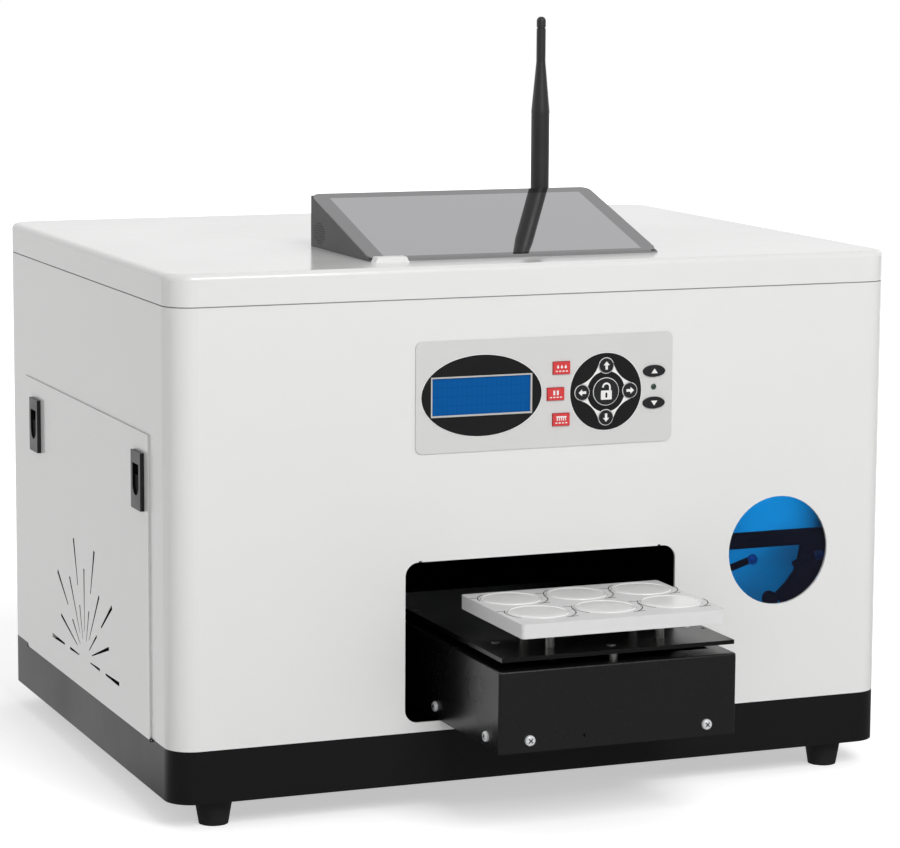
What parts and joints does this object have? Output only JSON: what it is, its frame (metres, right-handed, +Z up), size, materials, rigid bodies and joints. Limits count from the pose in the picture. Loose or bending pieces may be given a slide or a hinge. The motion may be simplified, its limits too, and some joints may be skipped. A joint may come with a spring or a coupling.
{
  "type": "desktop nail art printer",
  "caption": "Boxy desktop printer with a sliding nail tray in front, hinged lid with a slanted touch screen and aerial, control panel, round window and side service door.",
  "frame": {"origin": "on the desk under the feet, in the middle of the case's width and of the whole depth at rest (tray out, hinges behind); the latch frames on the left put the bounding box's own centre about 2 mm further left", "axes": "+X to the printer's right as its user sees it from the front, +Y to the back, +Z up"},
  "size_m": [0.5643, 0.565, 0.561],
  "materials": {
    "white_enamel": "gloss",
    "black_enamel": "satin",
    "black_rubber": "matt",
    "bright_steel": "brushed",
    "black_plastic": "matt",
    "tablet_plastic": "satin",
    "tablet_screen": "gloss",
    "clip_white": "satin",
    "overlay_grey": "matt",
    "inlay_black": "satin",
    "key_white": "matt",
    "key_black": "matt",
    "key_red": "matt",
    "lcd_metal": "satin",
    "lcd_blue": "gloss",
    "circuit_green": "satin",
    "window_blue": "gloss",
    "tray_white": "satin",
    "pad_white": "gloss",
    "dark_motor": "satin",
    "silver_metal": "satin",
    "belt_rubber": "matt",
    "tank_plastic": "satin",
    "carriage_grey": "satin"
  },
  "bodies": {
    "case": {"base_pan": "black_enamel", "slide_rails": "bright_steel", "rubber_feet": "black_rubber", "outer_shell": "white_enamel", "rear_panel": "white_enamel", "panel_overlay": "overlay_grey", "panel_inlays": "inlay_black", "lcd_frame": "lcd_metal", "lcd_glass": "lcd_blue", "control_board": "circuit_green", "window_pane": "window_blue", "hinge_case_leaves": "bright_steel", "feed_motor": "dark_motor", "engine_frame": "black_enamel", "guide_rod": "bright_steel", "carriage_motor": "dark_motor", "carriage_belt": "belt_rubber", "cap_station": "carriage_grey", "ink_tanks": "tank_plastic", "main_board": "circuit_green", "power_supply": "silver_metal", "cooling_fan": "black_plastic"},
    "lid": {"lid_cover": "white_enamel", "tablet_case": "tablet_plastic", "tablet_glass": "tablet_screen", "tablet_clip": "clip_white", "hinge_lid_leaves": "bright_steel"},
    "antenna_foot": {"antenna_base": "black_plastic"},
    "antenna": {"antenna_mast": "black_plastic"},
    "door": {"side_door": "white_enamel", "latch_frames": "black_plastic"},
    "front_latch": {"latch_slider_front": "black_plastic"},
    "rear_latch": {"latch_slider_rear": "black_plastic"},
    "platform": {"platform_cover": "black_enamel", "platform_chassis": "black_enamel", "platform_screws": "bright_steel", "slide_blocks": "bright_steel", "lift_motor": "dark_motor"},
    "feed_shaft": {"feed_screw": "bright_steel"},
    "lift_shaft": {"lift_screw": "bright_steel"},
    "lift": {"lift_plate": "black_enamel", "lift_posts": "bright_steel"},
    "tray": {"nail_tray": "tray_white", "nail_pads": "pad_white"},
    "carriage": {"print_carriage": "carriage_grey", "print_head": "silver_metal"},
    "drive_wheel": {"drive_pulley": "silver_metal"},
    "idler_wheel": {"idler_pulley": "silver_metal"},
    "impeller": {"fan_impeller": "black_plastic"},
    "rocker": {"power_switch": "black_plastic"},
    "key_in_cap": {"key_in": "key_white"},
    "key_out_cap": {"key_out": "key_white"},
    "key_left_cap": {"key_left": "key_white"},
    "key_right_cap": {"key_right": "key_white"},
    "key_unlock_cap": {"key_unlock": "key_white"},
    "key_up_cap": {"key_up": "key_black"},
    "key_down_cap": {"key_down": "key_black"},
    "key_nozzle_cap": {"key_nozzle": "key_red"},
    "key_pause_cap": {"key_pause": "key_red"},
    "key_clean_cap": {"key_clean": "key_red"}
  },
  "joints": [
    {"name": "platform_slide", "type": "slide", "parent": "case", "child": "platform", "axis": [0, 1, 0], "range_m": [0, 0.24]},
    {"name": "feed_turn", "type": "hinge", "parent": "case", "child": "feed_shaft", "pos_m": [0.01065, -0.153, 0.0575], "axis": [0, 1, 0], "range_deg": [-10805, 5]},
    {"name": "platform_lift", "type": "slide", "parent": "platform", "child": "lift", "axis": [0, 0, 1], "range_m": [-0.003, 0.015]},
    {"name": "lift_turn", "type": "hinge", "parent": "platform", "child": "lift_shaft", "pos_m": [0.01065, -0.156, 0.1], "axis": [0, 0, 1], "range_deg": [-680, 140]},
    {"name": "tray_lift_off", "type": "slide", "parent": "lift", "child": "tray", "axis": [0, 0, 1], "range_m": [0, 0.012]},
    {"name": "lid_hinge", "type": "hinge", "parent": "case", "child": "lid", "pos_m": [0, 0.279, 0.3696], "axis": [-1, 0, 0], "range_deg": [0, 75]},
    {"name": "antenna_swivel", "type": "hinge", "parent": "lid", "child": "antenna_foot", "pos_m": [0.071, 0.012, 0.4105], "axis": [0, 1, 0], "range_deg": [-90, 90]},
    {"name": "antenna_fold", "type": "hinge", "parent": "antenna_foot", "child": "antenna", "pos_m": [0.071, 0.012, 0.4105], "axis": [-1, 0, 0], "range_deg": [0, 90]},
    {"name": "door_hinge", "type": "hinge", "parent": "case", "child": "door", "pos_m": [-0.2808, 0.05225, 0.0568], "axis": [0, -1, 0], "range_deg": [0, 40]},
    {"name": "front_latch_slide", "type": "slide", "parent": "door", "child": "front_latch", "axis": [0, 0, -1], "range_m": [-0.008, 0]},
    {"name": "rear_latch_slide", "type": "slide", "parent": "door", "child": "rear_latch", "axis": [0, 0, -1], "range_m": [-0.008, 0]},
    {"name": "carriage_slide", "type": "slide", "parent": "case", "child": "carriage", "axis": [1, 0, 0], "range_m": [-0.255, 0.005]},
    {"name": "drive_turn", "type": "hinge", "parent": "case", "child": "drive_wheel", "pos_m": [0.222, 0.0205, 0.245], "axis": [0, 1, 0], "range_deg": [-35, 1640]},
    {"name": "idler_turn", "type": "hinge", "parent": "case", "child": "idler_wheel", "pos_m": [-0.172, 0.0205, 0.245], "axis": [0, 1, 0], "range_deg": [-35, 1640]},
    {"name": "fan_spin", "type": "hinge", "parent": "case", "child": "impeller", "pos_m": [0.15, 0.259, 0.3], "axis": [0, 1, 0], "continuous": true},
    {"name": "power_rock", "type": "hinge", "parent": "case", "child": "rocker", "pos_m": [-0.105, 0.271, 0.088], "axis": [1, 0, 0], "range_deg": [0, 20]},
    {"name": "key_in_press", "type": "slide", "parent": "case", "child": "key_in_cap", "axis": [0, 1, 0], "range_m": [0, 0.0007], "stiffness_N_per_m": 400},
    {"name": "key_out_press", "type": "slide", "parent": "case", "child": "key_out_cap", "axis": [0, 1, 0], "range_m": [0, 0.0007], "stiffness_N_per_m": 400},
    {"name": "key_left_press", "type": "slide", "parent": "case", "child": "key_left_cap", "axis": [0, 1, 0], "range_m": [0, 0.0007], "stiffness_N_per_m": 400},
    {"name": "key_right_press", "type": "slide", "parent": "case", "child": "key_right_cap", "axis": [0, 1, 0], "range_m": [0, 0.0007], "stiffness_N_per_m": 400},
    {"name": "key_unlock_press", "type": "slide", "parent": "case", "child": "key_unlock_cap", "axis": [0, 1, 0], "range_m": [0, 0.0007], "stiffness_N_per_m": 400},
    {"name": "key_up_press", "type": "slide", "parent": "case", "child": "key_up_cap", "axis": [0, 1, 0], "range_m": [0, 0.0007], "stiffness_N_per_m": 400},
    {"name": "key_down_press", "type": "slide", "parent": "case", "child": "key_down_cap", "axis": [0, 1, 0], "range_m": [0, 0.0007], "stiffness_N_per_m": 400},
    {"name": "key_nozzle_press", "type": "slide", "parent": "case", "child": "key_nozzle_cap", "axis": [0, 1, 0], "range_m": [0, 0.0007], "stiffness_N_per_m": 400},
    {"name": "key_pause_press", "type": "slide", "parent": "case", "child": "key_pause_cap", "axis": [0, 1, 0], "range_m": [0, 0.0007], "stiffness_N_per_m": 400},
    {"name": "key_clean_press", "type": "slide", "parent": "case", "child": "key_clean_cap", "axis": [0, 1, 0], "range_m": [0, 0.0007], "stiffness_N_per_m": 400}
  ],
  "couplings": [
    {"joint": "feed_turn", "follows": "platform_slide", "rad_per_m": -785.4},
    {"joint": "lift_turn", "follows": "platform_lift", "rad_per_m": -785.4},
    {"joint": "drive_turn", "follows": "carriage_slide", "rad_per_m": -111.7},
    {"joint": "idler_turn", "follows": "carriage_slide", "rad_per_m": -111.7}
  ]
}
